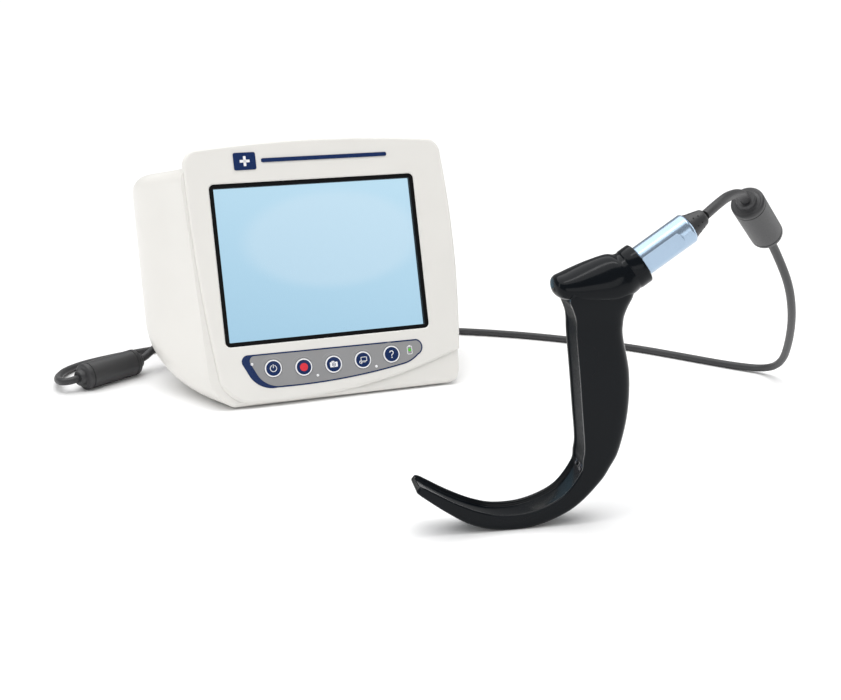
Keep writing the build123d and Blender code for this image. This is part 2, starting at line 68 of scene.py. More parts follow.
# third axis out of the collar along the plug
PLUG = HANDSET @ Matrix(
    (
        (0, -sin(PLUG_TILT), cos(PLUG_TILT), 70.8),
        (1, 0, 0, 0),
        (0, cos(PLUG_TILT), sin(PLUG_TILT), 132.4),
        (0, 0, 0, 1),
    )
)

BUTTONS = ("power", "record", "snapshot", "display", "help")
# the buttons' spacing, and the height, slope and bow of the line that they stand on
BUTTON_PITCH, BUTTON_V, BUTTON_SLOPE, BUTTON_BOW = 19.8, -20.2, 0.012, 0.00125
LAMP_DOTS = [(-52.9, -14.7, 0.3), (-11.2, -26.2, 0.3), (28.5, -24.6, 0.3)]
LAMP_DOT_RADIUS = 0.92
MEMBRANE_TOP = 0.3
BATTERY_CENTRE = (52.4, -16.4)
BADGE_V = 114.3
EMBLEM_CENTRE = (-43.6, BADGE_V)
SLEEVE_RADIUS, SLEEVE_SPAN, SLEEVE_FLAT = 7.8, 29.0, 6.75
# height, ring radius and slot size of each ring of dark marks in the plug's boot, painted shade for
# its slots
BOOT_RINGS = ((31.6, 5.66, 0.75), (34.2, 4.92, 0.6))
# where the windows stand in the handset's plane, and how far up they look
WINDOW_X, WINDOW_Z, WINDOW_RISE, WINDOW_SUNK = 42.6, 29.8, radians(24.0), 2.7
# side and radius of each window
WINDOWS = {
    "camera_eye": ("camera_window", -3.4, 2.4),
    "light_eye": ("light_window", 3.6, 1.7),
}

FERRITE_A = ((-116.5, 54.8, 8.9), (-152.8, 33.2, 8.9))
FERRITE_B = ((175.9, -218.8, 150.3), (204.5, -198.7, 126.9))
MONITOR_BOOT = ((-79.0, 67.8, 20.6), (-100.0, 65.5, 15.4))
CABLE_ROUTE = [
    (-100.0, 65.5, 15.4),
    (-107.0, 61.2, 10.8),
    (-113.1, 56.8, 8.9),
    (-156.2, 31.2, 8.9),
    (-161.8, 27.9, 8.7),
    (-167.6, 32.0, 7.6),
    (-169.0, 43.4, 5.8),
    (-167.4, 55.6, 4.0),
    (-162.6, 69.0, 2.8),
    (-150.0, 81.0, 2.5),
    (-130.0, 89.6, 2.5),
    (-103.0, 98.0, 2.5),
    (-66.0, 103.6, 2.5),
    (-14.0, 103.4, 2.5),
    (38.0, 97.6, 2.5),
    (86.0, 85.6, 2.5),
    (128.0, 67.4, 2.5),
    (165.0, 44.6, 2.5),
    (199.0, 17.6, 2.5),
    (231.0, -12.6, 2.5),
    (255.5, -44.4, 2.5),
    (276.0, -72.0, 2.5),
    (292.6, -90.5, 3.6),
    (289.5, -110.5, 15.5),
    (275.0, -134.5, 38.0),
    (257.0, -159.0, 64.0),
    (240.0, -176.0, 88.0),
    (224.0, -186.5, 107.0),
    (207.2, -196.8, 124.7),
    (173.2, -220.7, 152.5),
    (165.0, -229.0, 157.2),
    (151.4, -240.4, 159.6),
    (138.4, -251.0, 159.0),
    (126.0, -257.1, 153.8),
]

# inner face's place in the handset's plane, direction through the section in degrees, thickness,
# width, back corner radius, channel depth
BLADE_STATIONS = [
    (-38.9, 26.6, -128, 1.4, 13.6, 0.7, 0.2),
    (-38.6, 26.9, -128, 2.8, 15.8, 1.3, 0.6),
    (-37.6, 26.7, -128, 3.9, 17.2, 1.8, 1.1),
    (-35.6, 25.8, -128, 4.6, 17.9, 2.0, 1.5),
    (-32.0, 23.6, -128, 5.2, 18.0, 2.2, 1.7),
    (-21.6, 17.4, -127, 6.6, 18.0, 2.6, 1.9),
    (-9.0, 11.4, -122, 8.4, 18.0, 3.4, 2.0),
    (3.0, 8.4, -98, 8.6, 18.0, 3.6, 2.0),
    (18.2, 9.3, -82, 9.3, 18.2, 4.0, 2.0),
    (33.4, 15.8, -57, 10.0, 18.6, 4.4, 1.9),
    (42.4, 27.4, -31, 12.8, 19.0, 5.4, 1.5),
    (43.6, 34.6, -19, 16.4, 19.2, 6.4, 0.8),
    (44.0, 41.5, -8, 19.8, 19.4, 7.2, 0.7),
    (42.2, 58.0, 0, 24.9, 19.8, 8.0, 0.7),
    (40.0, 78.0, 0, 26.8, 20.0, 8.4, 0.7),
    (37.7, 97.0, 0, 24.9, 19.6, 8.0, 0.7),
    (37.2, 104.0, 0, 25.1, 19.6, 8.0, 0.6),
    (36.6, 108.0, 0, 26.2, 20.2, 8.4, 0.1),
    (34.8, 112.8, 0, 29.6, 21.6, 9.0, 0.0),
    (33.2, 116.6, 2, 33.4, 22.4, 9.4, 0.0),
    (33.6, 120.4, 6, 33.8, 21.6, 9.4, 0.0),
    (35.6, 124.0, 8, 30.6, 19.0, 8.4, 0.0),
]
# the duller channel runs above this height, between these points of each section
HANDLE_LOW, CHANNEL_START, CHANNEL_END = 30.0, 15, 25
# section's middle, its lean back, height, width, squareness under and over the middle, and its
# taper to the top
HEAD_ROWS = [
    (26.9, 123.4, 0, 2.0, 5.0, 2.0, 2.0, 0.0),
    (27.4, 123.3, 0, 6.0, 10.0, 2.2, 2.0, 0.0),
    (28.8, 122.9, 0, 9.6, 15.4, 2.6, 2.1, 0.06),
    (31.6, 122.9, 0, 11.8, 19.4, 3.4, 2.2, 0.12),
    (37.0, 123.9, 2, 14.4, 22.8, 4.6, 2.2, 0.2),
    (43.0, 124.9, 5, 17.0, 24.4, 5.0, 2.2, 0.24),
    (49.0, 125.6, 9, 19.4, 25.0, 5.0, 2.2, 0.26),
    (54.6, 126.1, 16, 21.4, 24.8, 4.4, 2.2, 0.22),
    (59.4, 126.9, 25, 21.9, 23.8, 3.2, 2.1, 0.12),
    (63.0, 127.5, 32, 21.2, 21.8, 2.2, 2.0, 0.04),
    (65.2, 128.6, 34.3, 20.4, 20.4, 2.0, 2.0, 0.0),
]


# ---------------------------------------------------------------- settings
def shade(name, description, colour):
    return FloatVectorProperty(
        name=name, description=description, subtype="COLOR", size=3, min=0, max=1, default=colour
    )


def length(name, description, value):
    return FloatProperty(name=name, description=description, unit="LENGTH", min=0, default=value)


class LaryngoscopeColours(bpy.types.PropertyGroup):
    case: shade("Case", "Moulded case of the monitor", (0.77, 0.755, 0.72))
    navy: shade("Navy", "Buttons, keypad rim and emblem", (0.006, 0.022, 0.092))
    keypad: shade("Keypad", "Grey membrane round the buttons", (0.27, 0.27, 0.275))
    picture: shade("Picture", "Lit screen", (0.55, 0.79, 0.93))
    handset: shade("Handset", "Polished blade and handle", (0.0026, 0.0040, 0.0058))
    cable: shade("Cable", "Jacket, ferrites and boots", (0.026, 0.026, 0.028))
    sleeve: shade("Sleeve", "Anodised grip of the plug", (0.36, 0.47, 0.60))


class LaryngoscopeSizes(bpy.types.PropertyGroup):
    cable_diameter: length("Cable diameter", "Outside of the video cable", 0.005)
    ferrite_radius: length("Ferrite radius", "Outside of the moulded ferrites", 0.0089)
    channel_wall: length("Rail width", "Rail on each side of the handset's channel", 0.0021)
    printed_height: length("Print height", "How far printed marks stand up", 0.00006)
    boot_slots: IntProperty(
        name="Boot slots", description="Slots in each ring of the plug's boot", min=3, default=8
    )


class LaryngoscopeStage(bpy.types.PropertyGroup):
    lens: FloatProperty(name="Lens", description="Focal length", unit="CAMERA", default=51.37)
    sun: FloatProperty(name="Main light", description="Strength of the broad light", default=2.65)
    spread: FloatProperty(
        name="Softness",
        description="Breadth of the main light",
        subtype="ANGLE",
        default=radians(84),
    )
    overhead: FloatProperty(name="Overhead light", description="Power", unit="POWER", default=2.2)
    side: FloatProperty(name="Side light", description="Power", unit="POWER", default=2.0)
    front: FloatProperty(name="Front light", description="Power", unit="POWER", default=3.6)
    sky: FloatProperty(name="Surround", description="Light from the white surround", default=0.34)


# ---------------------------------------------------------------- mesh helpers
def rounded(points, radius, steps=4, closed=False):
    """The polyline with its corners replaced by short curves."""
    result = []
    last = len(points) - 1
    for i, point in enumerate(points):
        corner = Vector(point)
        before, after = Vector(points[i - 1]), Vector(points[(i + 1) % len(points)])
        cut = min(radius, (before - corner).length * 0.49, (after - corner).length * 0.49)
        if cut < 1e-5 or (not closed and i in (0, last)):
            result.append(corner)
            continue
        start = corner.lerp(before, cut / (before - corner).length)
        end = corner.lerp(after, cut / (after - corner).length)
        for k in range(steps + 1):
            t = k / steps
            result.append(start * (1 - t) ** 2 + corner * 2 * t * (1 - t) + end * t * t)
    return result


def loft(bm, rings, place, material=0, caps=True):
    """Quads between rings of as many points each."""
    rows = [[bm.verts.new(place @ Vector(p)) for p in ring] for ring in rings]
    faces = []
    for low, high in zip(rows, rows[1:]):
        for i in range(len(low)):
            j = (i + 1) % len(low)
            faces.append(bm.faces.new((low[i], low[j], high[j], high[i])))
    if caps:
        faces.append(bm.faces.new(rows[0][::-1]))
        faces.append(bm.faces.new(rows[-1]))
    for face in faces:
        face.material_index = material
    return rows


def turned(bm, profile, place, material=0, sides=64):
    """A turned piece: a profile of radius and height, round the third axis."""
    rings = []
    for radius, height in profile:
        ring = []
        for i in range(sides):
            angle = 2 * pi * i / sides
            ring.append((radius * cos(angle), radius * sin(angle), height))
        rings.append(ring)
    loft(bm, rings, place, material, caps=False)


def plate(bm, outline, low, high, place, material=0, ease=0.0):
    """A plate with this outline; ease draws in its top edge."""
    middle = Vector((0, 0))
    for point in outline:
        middle += Vector(point) / len(outline)
    rings = [[(*point, low) for point in outline], [(*point, high - ease) for point in outline]]
    if ease:
        drawn = []
        for point in outline:
            arm = Vector(point) - middle
            drawn.append((*(middle + arm * (1 - ease / arm.length)), high))
        rings.append(drawn)
    loft(bm, rings, place, material)


def band(bm, points, width, low, high, place, material=0, closed=False):
    """A flat strip along a line, as a printed stroke."""
    points = [Vector(p) for p in points]
    left, right = [], []
    last = len(points) - 1
    for i, point in enumerate(points):
        before = points[i - 1] if closed or i else point
        after = points[(i + 1) % len(points)] if closed or i < last else point
        along = (after - before).normalized()
        side = Vector((-along.y, along.x)) * width / 2
        left.append(point + side)
        right.append(point - side)
    rows = []
    for a, b in zip(left, right):
        ring = [(*a, low), (*b, low), (*b, high), (*a, high)]
        rows.append([bm.verts.new(place @ Vector(p)) for p in ring])
    pairs = list(zip(rows, rows[1:]))
    if closed:
        pairs.append((rows[-1], rows[0]))
    for one, two in pairs:
        for i in range(4):
            j = (i + 1) % 4
            bm.faces.new((one[i], one[j], two[j], two[i])).material_index = material
    if not closed:
        bm.faces.new(rows[0]).material_index = material
        bm.faces.new(rows[-1][::-1]).material_index = material


def arc(centre, radius, start, end, steps=24):
    points = []
    for i in range(steps + 1):
        angle = radians(start + (end - start) * i / steps)
        points.append((centre[0] + radius * cos(angle), centre[1] + radius * sin(angle)))
    return points


def box_outline(centre, width, height, radius, steps=5):
    u, v = centre
    w, h = width / 2, height / 2
    corners = [(u - w, v - h), (u + w, v - h), (u + w, v + h), (u - w, v + h)]
    return rounded(corners, radius, steps, closed=True)


def add_piece(bm, name, finishes, body, replaced=(), crease=38.0):
    """Turns a bmesh into a finished piece that rides on a body."""
    bmesh.ops.remove_doubles(bm, verts=bm.verts, dist=2e-7)
    bmesh.ops.recalc_face_normals(bm, faces=bm.faces)
    mesh = bpy.data.meshes.new(name)
    bm.to_mesh(mesh)
    bm.free()
    return add_mesh(mesh, name, finishes, body, replaced, crease)


def add_mesh(mesh, name, finishes, body, replaced=(), crease=38.0):
    for finish in finishes:
        mesh.materials.append(finish)
    mesh.polygons.foreach_set("use_smooth", [True] * len(mesh.polygons))
    mesh.set_sharp_from_angle(angle=radians(crease))
    piece = bpy.data.objects.new(name, mesh)
    bpy.context.collection.objects.link(piece)
    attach(piece, body)
    if replaced:
        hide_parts(*replaced)
    return piece


# ---------------------------------------------------------------- materials
def new_finish(name):
    finish = bpy.data.materials.new(name)
    finish.use_nodes = True
    nodes = finish.node_tree.nodes
    return finish, nodes, finish.node_tree.links, nodes["Principled BSDF"]


def noise(nodes, links, scale, detail=3.0, stretch=None):
    """Noise on the piece's own coordinates."""
    where = nodes.new("ShaderNodeTexCoord")
    texture = nodes.new("ShaderNodeTexNoise")
    texture.inputs["Scale"].default_value = scale
    texture.inputs["Detail"].default_value = detail
    if stretch:
        mapping = nodes.new("ShaderNodeMapping")
        mapping.inputs["Scale"].default_value = stretch
        links.new(where.outputs["Object"], mapping.inputs["Vector"])
        links.new(mapping.outputs["Vector"], texture.inputs["Vector"])
    else:
        links.new(where.outputs["Object"], texture.inputs["Vector"])
    return texture.outputs["Fac"]


def between(nodes, links, source, low, high):
    """Maps the middle of a noise to a range."""
    spread = nodes.new("ShaderNodeMapRange")
    spread.inputs["From Min"].default_value = 0.3
    spread.inputs["From Max"].default_value = 0.7
    spread.inputs["To Min"].default_value = low
    spread.inputs["To Max"].default_value = high
    links.new(source, spread.inputs["Value"])
    return spread.outputs["Result"]


def moulded(
    name,
    colour,
    gloss,
    grain=900.0,
    depth=0.00002,
    drift=0.04,
    metallic=0.0,
    coat=0.0,
    specular=0.5,
    stretch=None,
):
    """Plastic, rubber or metal: fine grain in its bump, slow drift in its colour and gloss."""
    finish, nodes, links, shader = new_finish(name)
    shader.inputs["Metallic"].default_value = metallic
    shader.inputs["Coat Weight"].default_value = coat
    shader.inputs["Coat Roughness"].default_value = 0.06
    shader.inputs["Specular IOR Level"].default_value = specular
    slow = noise(nodes, links, 28.0, 2.0)
    tint = nodes.new("ShaderNodeMix")
    tint.data_type = "RGBA"
    tint.inputs["A"].default_value = (*[c * (1 - drift) for c in colour], 1)
    tint.inputs["B"].default_value = (*[min(c * (1 + drift), 1) for c in colour], 1)
    links.new(between(nodes, links, slow, 0, 1), tint.inputs["Factor"])
    links.new(tint.outputs["Result"], shader.inputs["Base Color"])
    fine = noise(nodes, links, grain, 4.0, stretch)
    links.new(between(nodes, links, fine, gloss * 0.85, gloss * 1.15), shader.inputs["Roughness"])
    bump = nodes.new("ShaderNodeBump")
    bump.inputs["Distance"].default_value = depth
    bump.inputs["Strength"].default_value = 0.6
    links.new(fine, bump.inputs["Height"])
    links.new(bump.outputs["Normal"], shader.inputs["Normal"])
    return finish


def printed(name, colour, gloss, drift):
    """Printed ink or a small lamp: smoother than moulded plastic."""
    return moulded(name, colour, gloss, grain=2600, depth=0.00001, drift=drift)


def lit_picture(name, colour):
    """Lit screen: paler at the top, a broad soft painted reflection, a deeper lower left corner."""
    finish, nodes, links, shader = new_finish(name)
    where = nodes.new("ShaderNodeTexCoord")
    along = nodes.new("ShaderNodeVectorMath")
    along.operation = "DOT_PRODUCT"
    along.inputs[1].default_value = (0.30, sin(TILT), cos(TILT))
    links.new(where.outputs["Object"], along.inputs[0])
    rise = nodes.new("ShaderNodeMapRange")
    rise.inputs["From Min"].default_value = 0.005
    rise.inputs["From Max"].default_value = 0.15
    links.new(along.outputs["Value"], rise.inputs["Value"])
    sky = nodes.new("ShaderNodeMix")
    sky.data_type = "RGBA"
    low = [c * k for c, k in zip(colour, (0.74, 0.83, 0.90))]
    high = [min(c * k, 1) for c, k in zip(colour, (1.03, 1.03, 1.04))]
    sky.inputs["A"].default_value = (*low, 1)
    sky.inputs["B"].default_value = (*high, 1)
    links.new(rise.outputs["Result"], sky.inputs["Factor"])
    # painted reflection: a pale soft ellipse mixed into the picture's colour, so it glows with the
    # screen
    reflection_spot = nodes.new("ShaderNodeMapping")
    reflection_spot.inputs["Location"].default_value = (-0.010, 0.0, -0.098)
    reflection_spot.vector_type = "POINT"
    links.new(where.outputs["Object"], reflection_spot.inputs["Vector"])
    squash = nodes.new("ShaderNodeVectorMath")
    squash.operation = "MULTIPLY"
    squash.inputs[1].default_value = (15.0, 0.0, 30.0)
    links.new(reflection_spot.outputs["Vector"], squash.inputs[0])
    reach = nodes.new("ShaderNodeVectorMath")
    reach.operation = "LENGTH"
    links.new(squash.outputs["Vector"], reach.inputs[0])
    fade = nodes.new("ShaderNodeMapRange")
    fade.interpolation_type = "SMOOTHSTEP"
    fade.inputs["From Min"].default_value = 1.0
    fade.inputs["From Max"].default_value = 0.75
    fade.inputs["To Max"].default_value = 0.22
    links.new(reach.outputs["Value"], fade.inputs["Value"])
    painted_reflection = nodes.new("ShaderNodeMix")
    painted_reflection.data_type = "RGBA"
    painted_reflection.inputs["B"].default_value = (0.80, 0.91, 1.0, 1)
    links.new(fade.outputs["Result"], painted_reflection.inputs["Factor"])
    links.new(sky.outputs["Result"], painted_reflection.inputs["A"])
    links.new(painted_reflection.outputs["Result"], shader.inputs["Emission Color"])
    shader.inputs["Base Color"].default_value = (0.01, 0.012, 0.015, 1)
    shader.inputs["Emission Strength"].default_value = 1.0
    shader.inputs["Specular IOR Level"].default_value = 0.0
    shader.inputs["Roughness"].default_value = 0.35
    return finish


def clear_window(name, tint, alpha):
    """Thin clear window with a hard gloss."""
    finish, nodes, links, shader = new_finish(name)
    shader.inputs["Base Color"].default_value = (*tint, 1)
    shader.inputs["Alpha"].default_value = alpha
    fine = noise(nodes, links, 60.0, 2.0)
    links.new(between(nodes, links, fine, 0.05, 0.09), shader.inputs["Roughness"])
    return finish


FINISHES = {}


def make_finishes(colours):
    """Every finish of the object, by name."""
    case, navy, keypad = tuple(colours.case), tuple(colours.navy), tuple(colours.keypad)
    handset, jacket, sleeve = tuple(colours.handset), tuple(colours.cable), tuple(colours.sleeve)
    FINISHES.update(
        case=moulded(
            "case_plastic", case, 0.34, grain=1400, depth=0.000012, drift=0.012, coat=0.12
        ),
        gasket=moulded("gasket_rubber", (0.002, 0.002, 0.0025), 0.5, grain=1800, specular=0.12),
        foot=moulded("foot_rubber", (0.03, 0.03, 0.032), 0.7, grain=1500, depth=0.00005),
        navy=moulded("navy_plastic", navy, 0.30, grain=1600, depth=0.00001, specular=0.25),
        membrane=moulded("keypad_membrane", keypad, 0.46, grain=2600, depth=0.00003, drift=0.05),
        # lighter grey than the membrane: a painted highlight on the raised arcs
        emboss=moulded("keypad_emboss", (0.31, 0.31, 0.315), 0.34, grain=2600),
        white_ink=printed("white_ink", (0.86, 0.86, 0.88), 0.35, 0.01),
        red_ink=printed("red_ink", (0.68, 0.022, 0.042), 0.30, 0.02),
        green_ink=printed("green_ink", (0.10, 0.52, 0.045), 0.30, 0.02),
        black_plastic=moulded("black_plastic", (0.012, 0.012, 0.013), 0.4, grain=1500),
        picture=lit_picture("screen_picture", tuple(colours.picture)),
        screen_glass=clear_window("screen_glass", (0.05, 0.06, 0.07), 0.04),
        lens_glass=clear_window("lens_glass", (0.01, 0.012, 0.02), 0.95),
        steel=moulded(
            "plain_steel",
            (0.55, 0.56, 0.58),
            0.28,
            grain=700,
            depth=0.00001,
            drift=0.05,
            metallic=1.0,
            stretch=(1, 1, 14),
        ),
        brass=moulded(
            "turned_brass", (0.62, 0.44, 0.16), 0.3, depth=0.00001, drift=0.06, metallic=1.0
        ),
        board=moulded(
            "circuit_board", (0.012, 0.12, 0.045), 0.4, grain=600, depth=0.00003, drift=0.25
        ),
        wrap=moulded(
            "battery_wrap", (0.02, 0.05, 0.16), 0.35, grain=300, depth=0.00008, drift=0.12
        ),
        amber=moulded("amber_film", (0.55, 0.26, 0.03), 0.25, grain=500, depth=0.00001),
        handset=moulded(
            "handset_gloss", handset, 0.15, grain=420, depth=0.000006, drift=0.10, specular=0.15
        ),
        channel=moulded("handset_channel", handset, 0.4, depth=0.00001, drift=0.10, specular=0.03),
        jacket=moulded("cable_jacket", jacket, 0.44, grain=1500, drift=0.10),
        # near black, darker than the jacket: painted shade in the boot's slots
        slot_dark=moulded("slot_dark", (0.004, 0.004, 0.004), 0.8, grain=1500),
        sleeve=moulded(
            "anodised_sleeve",
            sleeve,
            0.22,
            grain=520,
            depth=0.000004,
            drift=0.03,
            metallic=0.85,
            coat=0.2,
            stretch=(1, 12, 1),
        ),
        lamp=moulded("lamp_white", (0.9, 0.9, 0.86), 0.25, grain=1500, depth=0.00001, drift=0.02),
    )


def paint(finish, *names):
    for name in names:
        for slot in NODES[name].material_slots:
            slot.material = FINISHES[finish]


# ---------------------------------------------------------------- repeats
def node_tree(name, sizes):
    """An empty geometry tree with named number inputs."""
    tree = bpy.data.node_groups.new(name, "GeometryNodeTree")
    face = tree.interface
    face.new_socket(name="Geometry", in_out="INPUT", socket_type="NodeSocketGeometry")
    for label, kind in sizes:
        face.new_socket(name=label, in_out="INPUT", socket_type=kind)
    face.new_socket(name="Geometry", in_out="OUTPUT", socket_type="NodeSocketGeometry")
    start = tree.nodes.new("NodeGroupInput")
    end = tree.nodes.new("NodeGroupOutput")
    return tree, start, end


def finish_tree(tree, instances, end, finish):
    """Realizes the instances and sets their material."""
    real = tree.nodes.new("GeometryNodeRealizeInstances")
    paintwork = tree.nodes.new("GeometryNodeSetMaterial")
    paintwork.inputs["Material"].default_value = finish
    tree.links.new(instances, real.inputs[0])
    tree.links.new(real.outputs[0], paintwork.inputs["Geometry"])
    tree.links.new(paintwork.outputs["Geometry"], end.inputs[0])


def grown(tree, carrier, values):
    """The plain mesh that this tree makes from a carrier mesh."""
    holder = bpy.data.objects.new("holder", carrier)
    bpy.context.collection.objects.link(holder)
    modifier = holder.modifiers.new("repeat", "NODES")
    modifier.node_group = tree
    for item in tree.interface.items_tree:
        if item.in_out == "INPUT" and item.name in values:
            modifier[item.identifier] = values[item.name]
    bpy.context.view_layer.update()
    done = holder.evaluated_get(bpy.context.evaluated_depsgraph_get())
    mesh = bpy.data.meshes.new_from_object(done)
    bpy.data.objects.remove(holder)
    mesh.materials.clear()
    return mesh


def points_mesh(places):
    mesh = bpy.data.meshes.new("places")
    mesh.from_pydata(places, [], [])
    return mesh


def dots_tree(finish):
    """Small domes on the carrier's points."""
    tree, start, end = node_tree("lamp_dots", [("Radius", "NodeSocketFloat")])
    ball = tree.nodes.new("GeometryNodeMeshUVSphere")
    ball.inputs["Segments"].default_value = 20
    ball.inputs["Rings"].default_value = 10
    spread = tree.nodes.new("GeometryNodeInstanceOnPoints")
    tree.links.new(start.outputs["Radius"], ball.inputs["Radius"])
    tree.links.new(start.outputs["Geometry"], spread.inputs["Points"])
    tree.links.new(ball.outputs["Mesh"], spread.inputs["Instance"])
    finish_tree(tree, spread.outputs["Instances"], end, finish)
    return tree


def slots_tree(finish):
    """A ring of small three-sided dark marks round the third axis: painted shade for slots."""
    sizes = [("Count", "NodeSocketInt"), ("Ring", "NodeSocketFloat"), ("Slot", "NodeSocketFloat")]
    tree, start, end = node_tree("boot_slots", sizes)
    ring = tree.nodes.new("GeometryNodeMeshCircle")
    wedge = tree.nodes.new("GeometryNodeMeshCone")
    wedge.inputs["Vertices"].default_value = 3
    wedge.inputs["Radius Top"].default_value = 0.0
    wedge.inputs["Depth"].default_value = 0.25
    spread = tree.nodes.new("GeometryNodeInstanceOnPoints")
    turn = tree.nodes.new("FunctionNodeAlignRotationToVector")
    turn.axis = "Z"
    place = tree.nodes.new("GeometryNodeInputPosition")
    tree.links.new(start.outputs["Count"], ring.inputs["Vertices"])
    tree.links.new(start.outputs["Ring"], ring.inputs["Radius"])
    tree.links.new(start.outputs["Slot"], wedge.inputs["Radius Bottom"])
    tree.links.new(place.outputs["Position"], turn.inputs["Vector"])
    tree.links.new(ring.outputs["Mesh"], spread.inputs["Points"])
    tree.links.new(wedge.outputs["Mesh"], spread.inputs["Instance"])
    tree.links.new(turn.outputs["Rotation"], spread.inputs["Rotation"])
    finish_tree(tree, spread.outputs["Instances"], end, finish)
    return tree


def axis_place(near, far):
    """Third axis from one point to another, in millimetres, turned into the frame."""
    near, far = Vector(near), Vector(far)
    turn = (far - near).to_track_quat("Z", "Y").to_matrix().to_4x4()
    return MILLIMETRES @ Matrix.Translation(near) @ turn


# ---------------------------------------------------------------- operators
class LARYNGOSCOPE_OT_stage(bpy.types.Operator):
    """Camera, floor, white surround and soft lights"""

    bl_idname = "laryngoscope.stage"
    bl_label = "Stage"

    def execute(self, context):
        stage = context.scene.laryngoscope_stage
        camera = bpy.data.cameras.new("camera")
        camera.lens = stage.lens
        camera.sensor_width = 36.0
        camera.clip_end = 60.0
        eye = bpy.data.objects.new("camera", camera)
        eye.location = (-0.1921, -0.748, 0.2691)
        eye.rotation_euler = (radians(72.15), 0, radians(-19.44))
        context.collection.objects.link(eye)
        context.scene.camera = eye
        context.scene.view_settings.view_transform = "Standard"

        mesh = bpy.data.meshes.new("floor")
        half = 30.0
        corners = [(-half, -half, 0), (half, -half, 0), (half, half, 0), (-half, half, 0)]
        mesh.from_pydata(corners, [], [(0, 1, 2, 3)])
        paint_coat = moulded(
            "floor_paint", (0.93, 0.93, 0.93), 0.6, grain=3.0, depth=0.0, drift=0.0, specular=0.0
        )
        mesh.materials.append(paint_coat)
        floor = bpy.data.objects.new("floor", mesh)
        context.collection.objects.link(floor)

        world = bpy.data.worlds.new("surround")
        world.use_nodes = True
        nodes, links = world.node_tree.nodes, world.node_tree.links
        nodes["Background"].inputs["Color"].default_value = (1, 1, 1, 1)
        # the surround lights the object softly, and is plain white where the camera sees it
        path = nodes.new("ShaderNodeLightPath")
        seen = nodes.new("ShaderNodeMapRange")
        seen.inputs["To Min"].default_value = stage.sky
        seen.inputs["To Max"].default_value = 1.0
        links.new(path.outputs["Is Camera Ray"], seen.inputs["Value"])
        links.new(seen.outputs["Result"], nodes["Background"].inputs["Strength"])
        context.scene.world = world
        lights = [
            ("overhead", stage.overhead, (0.9, 0.14), (0.05, -0.35, 1.2)),
            ("left", stage.side, (0.3, 1.0), (-1.2, -0.1, 0.6)),
            ("right", stage.side, (0.3, 1.0), (1.3, -0.3, 0.6)),
            ("front", stage.front, (1.6, 0.5), (-0.3, -1.7, 0.4)),
        ]
        for name, power, (wide, high), place in lights:
            lamp = bpy.data.lights.new(name, "AREA")
            lamp.shape = "RECTANGLE"
            lamp.size, lamp.size_y = wide, high
            lamp.energy = power
            holder = bpy.data.objects.new(name, lamp)
            holder.location = place
            aim = Vector((0.05, -0.1, 0.08)) - Vector(place)
            holder.rotation_euler = aim.to_track_quat("-Z", "Y").to_euler()
            context.collection.objects.link(holder)
        broad = bpy.data.lights.new("broad", "SUN")
        broad.energy = stage.sun
        broad.angle = stage.spread
        holder = bpy.data.objects.new("broad", broad)
        holder.rotation_euler = (radians(-11), radians(-5), 0)
        context.collection.objects.link(holder)
        return {"FINISHED"}


def add_cable_piece(bm, name, finishes, node, crease=38.0):
    """A black moulded piece on the cable, in place of one node."""
    materials = [FINISHES[finish] for finish in finishes]
    return add_piece(bm, name, materials, "monitor", [node], crease)


def ferrite(name, ends, radius, node):
    """Moulded ferrite: grooves near both ends and stepped rings on its faces."""
    near, far = Vector(ends[0]), Vector(ends[1])
    span = (far - near).length
    half = [
        (2.6, -4.0),
        (4.6, -4.0),
        (5.1, -3.4),
        (5.3, -0.7),
        (6.2, -0.25),
        (6.9, -0.25),
        (7.1, 0.0),
        (radius - 1.1, 0.0),
        (radius - 0.35, 0.35),
        (radius - 0.05, 1.0),
        (radius, 2.5),
        (radius, 3.1),
        (radius - 0.45, 3.3),
        (radius - 0.45, 3.7),
        (radius, 3.9),
    ]
    profile = half + [(r, span - h) for r, h in reversed(half)]
    bm = bmesh.new()
    turned(bm, [(0.0, -3.6)] + profile + [(0.0, span + 3.6)], axis_place(near, far))
    return add_cable_piece(bm, name, ["jacket"], node, crease=50.0)


